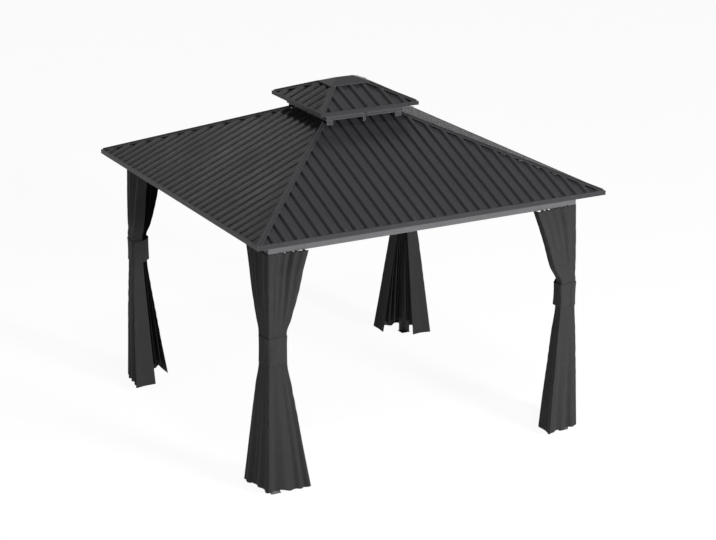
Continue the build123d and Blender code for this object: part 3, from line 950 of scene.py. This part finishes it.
def add_ring(bm, centre, axis_turn, radius, wire, around=14, section=6):
    """A wire ring that hangs in the plane across the rail's direction."""
    rows = []
    for i in range(around):
        a = 2 * math.pi * i / around
        row = []
        for j in range(section):
            b = 2 * math.pi * j / section
            reach = radius + wire * math.cos(b)
            flat = Vector((reach * math.cos(a), wire * math.sin(b), reach * math.sin(a)))
            flat.rotate(Matrix.Rotation(axis_turn, 3, "Z"))
            row.append(bm.verts.new(Vector(centre) + flat))
        rows.append(row)
    for i in range(around):
        join_loops(bm, rows[i], rows[(i + 1) % around])


print("helpers: circle, join_loops, add_block, add_ring")

# %% Curtain hooks
NYLON = painted_metal("nylon_glider", (0.06, 0.06, 0.06), 0.5, wear=0.0, dust=0.0)
HOOK_WIRE = painted_metal("hook_wire", (0.09, 0.09, 0.09), 0.4, wear=0.0, dust=0.0)
GLIDER = (0.012, 0.006, 0.010)         # along the rail, across it, height
GLIDER_HEIGHT = RAIL_BOTTOM + 0.002    # middle of a glider, half in the slot
HOOK_HEIGHT = RAIL_BOTTOM - 0.0085
HOOK = (0.0070, 0.0009)                # radius of the ring, radius of its wire


def on_front_or_back(x, y):
    """Whether a hook hangs from the front or back rail, which runs along X."""
    return abs(abs(y) - RAIL_LINE) < abs(abs(x) - RAIL_LINE)


for corner, (x_sign, y_sign) in CORNERS.items():
    def gliders(bm):
        for x, y, _ in hook_points[corner]:
            long, wide, tall = GLIDER
            size = (long, wide, tall) if on_front_or_back(x, y) else (wide, long, tall)
            add_block(bm, (x, y, GLIDER_HEIGHT), size)

    def hooks(bm):
        for x, y, _ in hook_points[corner]:
            turn = math.pi / 2 if on_front_or_back(x, y) else 0.0
            add_ring(bm, (x, y, HOOK_HEIGHT), turn, *HOOK)

    finish_piece(bmesh_piece(f"{corner}_gliders", gliders), NYLON)
    finish_piece(bmesh_piece(f"{corner}_hooks", hooks), HOOK_WIRE)

# %% [markdown]
# ## Roofing screws
#
# Each rib is held at the eave by a hex screw with a sealing washer. A screw could be copied
# as an object of its own, but there are more than a hundred. So it is a few circles joined
# into a washer and a head, added along its row into one mesh per side.

# %% Screw rows
SCREW_STEEL = painted_metal("screw_steel", (0.036, 0.036, 0.038), 0.5, wear=0.1, dust=0.0)
WASHER_POINTS = 14
WASHER = ((0.0060, 0.0), (0.0060, 0.0012), (0.00372, 0.0019))       # radius, height
HEX_HEAD = ((0.0038, 0.0012), (0.0038, 0.00357), (0.003116, 0.0042))  # radius, height


def add_turned(bm, base, circles):
    """A closed solid through level circles, from the lowest up."""
    loops = [[bm.verts.new(base @ point) for point in points] for points in circles]
    for low, high in zip(loops[:-1], loops[1:]):
        join_loops(bm, low, high)
    bm.faces.new(list(reversed(loops[0])))
    bm.faces.new(loops[-1])


def add_screw(bm, place, normal):
    """A hex washer-head screw standing on place, along normal."""
    base = Matrix.Translation(place) @ Vector(normal).to_track_quat("Z", "Y").to_matrix().to_4x4()
    add_turned(bm, base, [circle(radius, WASHER_POINTS, height) for radius, height in WASHER])
    add_turned(bm, base, [circle(radius, 6, height) for radius, height in HEX_HEAD])


print("screw head:", HEX_HEAD)

# %% Rib tops
SHEET = 0.002                          # thickness of the roof sheets and trims
TRIM_LAP = 0.010                       # how far the eave trim reaches up over the ribs
RIB_PITCH = {"front": 0.0965, "right": 0.100, "back": 0.0965, "left": 0.100}
OUTWARD = {"front": 1, "right": 0, "back": 1, "left": 0}  # axis that points out
PLUMB = 1.08                           # one unit square to the slope, measured upright


def rib_top(side, out):
    """Height and slope of a side's rib tops at a distance out from the centre, read from
    the upper end of its sheet and the upper edge of its eave trim."""
    axis = OUTWARD[side]
    sheet_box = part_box(f"{side}_roof_panel")
    sheet_high = sheet_box[1].z
    sheet_out = min(abs(end[axis]) for end in sheet_box)
    lap_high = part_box(f"{side}_eave_trim")[1].z - SHEET * PLUMB
    slope = (sheet_high - lap_high) / (EAVE - TRIM_LAP - sheet_out)
    return sheet_high - slope * (out - sheet_out), slope


print("rib pitches:", RIB_PITCH)


# %% Screws along the eaves
SCREW_OUT = EAVE - 0.032               # on the ribs, just above the trim's lap
SCREWS_EACH_WAY = 14
for turn, side in zip((0, 90, 180, 270), SIDES):
    height, slope = rib_top(side, SCREW_OUT)

    def eave_screws(bm):
        for k in range(-SCREWS_EACH_WAY, SCREWS_EACH_WAY + 1):
            place = Vector((k * RIB_PITCH[side], -SCREW_OUT, height))
            add_screw(bm, place, Vector((0.0, -slope, 1.0)))
        bmesh.ops.transform(bm, matrix=side_matrix(turn), verts=bm.verts)

    screws = bmesh_piece(f"{side}_eave_screws", eave_screws)
    finish_piece(screws, SCREW_STEEL, smooth=False)
    print(f"{side}: rib tops rise {slope:.4f}")

# %% [markdown]
# ## Beam ends
#
# The front and back beams are open tubes, so a cap closes each end. It is the same rounded
# block as a glider, made flat and as large as the tube.

# %% Beam end caps
BEAM_WIDTH = beam_high.y - beam_low.y
BEAM_HEIGHT = beam_high.z - beam_low.z
CAP_THICKNESS = 0.003
CAP_INSET = 0.0065                     # a cap is this much smaller than the tube


def end_caps(bm):
    for x in (-1, 1):
        for y in (-1, 1):
            centre = (x * (FRAME_HALF - CAP_THICKNESS / 2), y * (FRAME_HALF - BEAM_WIDTH / 2),
                      BEAM_BOTTOM + BEAM_HEIGHT / 2)
            add_block(bm, centre, (CAP_THICKNESS, BEAM_WIDTH - CAP_INSET, BEAM_HEIGHT - CAP_INSET))


beam_ends = bmesh_piece("beam_end_caps", end_caps)
finish_piece(beam_ends, FRAME_PAINT, smooth=False)

# %% [markdown]
# ## Stage
#
# A studio's white backdrop would flood dark paint with light. So the floor and the world
# are white only to the rays that the camera sees, straight or in a reflection. To all other
# rays the world is a faint grey, and the floor a plain pale surface. The glow is a share of
# the floor's own surface, and the rest still takes the soft shadow.

# %% Seen rays


def camera_or_glossy(tree):
    """1 for rays from the camera, in reflections and through glass, else 0."""
    path = tree.nodes.new("ShaderNodeLightPath")
    seen = math_node(tree, "MAXIMUM", path.outputs["Is Camera Ray"], path.outputs["Is Glossy Ray"])
    return math_node(tree, "MAXIMUM", seen, path.outputs["Is Transmission Ray"])


print("helper: camera_or_glossy")

# %% Floor
FLOOR_COLOUR = (0.80, 0.80, 0.80, 1.0)
GLOW_SHARE, GLOW_STRENGTH = 0.86, 1.09  # together a little under one, and the rest is light
FLOOR_HALF = 60

floor_material = bpy.data.materials.new("pale_floor")
floor_material.use_nodes = True
floor_tree = floor_material.node_tree
floor_shader = floor_tree.nodes["Principled BSDF"]
floor_shader.inputs["Base Color"].default_value = FLOOR_COLOUR
floor_shader.inputs["Roughness"].default_value = 0.9
floor_shader.inputs["Specular IOR Level"].default_value = 0.1
floor_glow = floor_tree.nodes.new("ShaderNodeEmission")
floor_glow.inputs["Color"].default_value = (1.0, 1.0, 1.0, 1.0)
floor_glow.inputs["Strength"].default_value = GLOW_STRENGTH
floor_mix = floor_tree.nodes.new("ShaderNodeMixShader")
floor_share = math_node(floor_tree, "MULTIPLY", camera_or_glossy(floor_tree), GLOW_SHARE)
floor_tree.links.new(floor_share, floor_mix.inputs["Fac"])
floor_tree.links.new(floor_shader.outputs["BSDF"], floor_mix.inputs[1])
floor_tree.links.new(floor_glow.outputs["Emission"], floor_mix.inputs[2])
floor_output = floor_tree.nodes["Material Output"]
floor_tree.links.new(floor_mix.outputs["Shader"], floor_output.inputs["Surface"])

floor_corners = [(x * FLOOR_HALF, y * FLOOR_HALF, 0) for x, y in CORNERS.values()]
floor = mesh_piece("floor", floor_corners, [(0, 1, 2, 3)])
floor.data.materials.append(floor_material)
print("floor:", 2 * FLOOR_HALF, "m wide")

# %% World
WORLD_LEVEL = 0.07                     # world light for rays that the camera doesn't see
world = bpy.data.worlds.new("studio")
bpy.context.scene.world = world
world.use_nodes = True
world_tree = world.node_tree
backdrop = world_tree.nodes["Background"]
backdrop.inputs["Color"].default_value = (1.0, 1.0, 1.0, 1.0)
level = math_node(world_tree, "MULTIPLY", camera_or_glossy(world_tree), 1.0 - WORLD_LEVEL)
level = math_node(world_tree, "ADD", level, WORLD_LEVEL)
world_tree.links.new(level, backdrop.inputs["Strength"])
print("world level:", WORLD_LEVEL)

# %% [markdown]
# ## Light and camera
#
# Three soft lamps light the gazebo. The key stands low in front, a little to the right. The
# glint hangs high in front, where the ribs of the left roof mirror it to the camera and so
# show their flanks. A weaker lamp low on the left fills that side. All are far away, so the
# light is even from corner to corner. One big lamp would be simpler, but dark ribs show
# almost nothing without a reflection. The camera has a long lens, as for a catalogue.

# %% Lamps


def soft_lamp(name, place, target, size, power):
    """A square area lamp that looks at target."""
    data = bpy.data.lights.new(name, "AREA")
    data.shape = "SQUARE"
    data.size = size
    data.energy = power
    lamp = bpy.data.objects.new(name, data)
    bpy.context.scene.collection.objects.link(lamp)
    lamp.location = place
    lamp.rotation_euler = (Vector(target) - Vector(place)).to_track_quat("-Z", "Y").to_euler()
    print(f"lamp {name}: {power:.0f} W")


soft_lamp("key", (3.8, -13.4, 5.0), (0, 0, 1.4), 2.5, 2380.0)
soft_lamp("glint", (-2.5, -13.8, 23.1), (-0.9, 0, 2.3), 2.5, 1200.0)
soft_lamp("side", (-13.0, -6.0, 1.6), (0, 0, 1.4), 3.0, 400.0)

# %% Camera
camera_data = bpy.data.cameras.new("camera")
camera_data.lens = 105.13
camera_data.sensor_width = 36.0
camera_data.clip_end = 200.0
camera = bpy.data.objects.new("camera", camera_data)
bpy.context.scene.collection.objects.link(camera)
camera.location = (-7.5920, -14.3173, 6.6220)
camera_target = Vector((0.2770, 0.2882, 1.05))
camera.rotation_euler = (camera_target - camera.location).to_track_quat("-Z", "Y").to_euler()
bpy.context.scene.camera = camera
bpy.context.scene.view_settings.view_transform = "Standard"
print("camera lens:", round(camera_data.lens, 2), "mm")
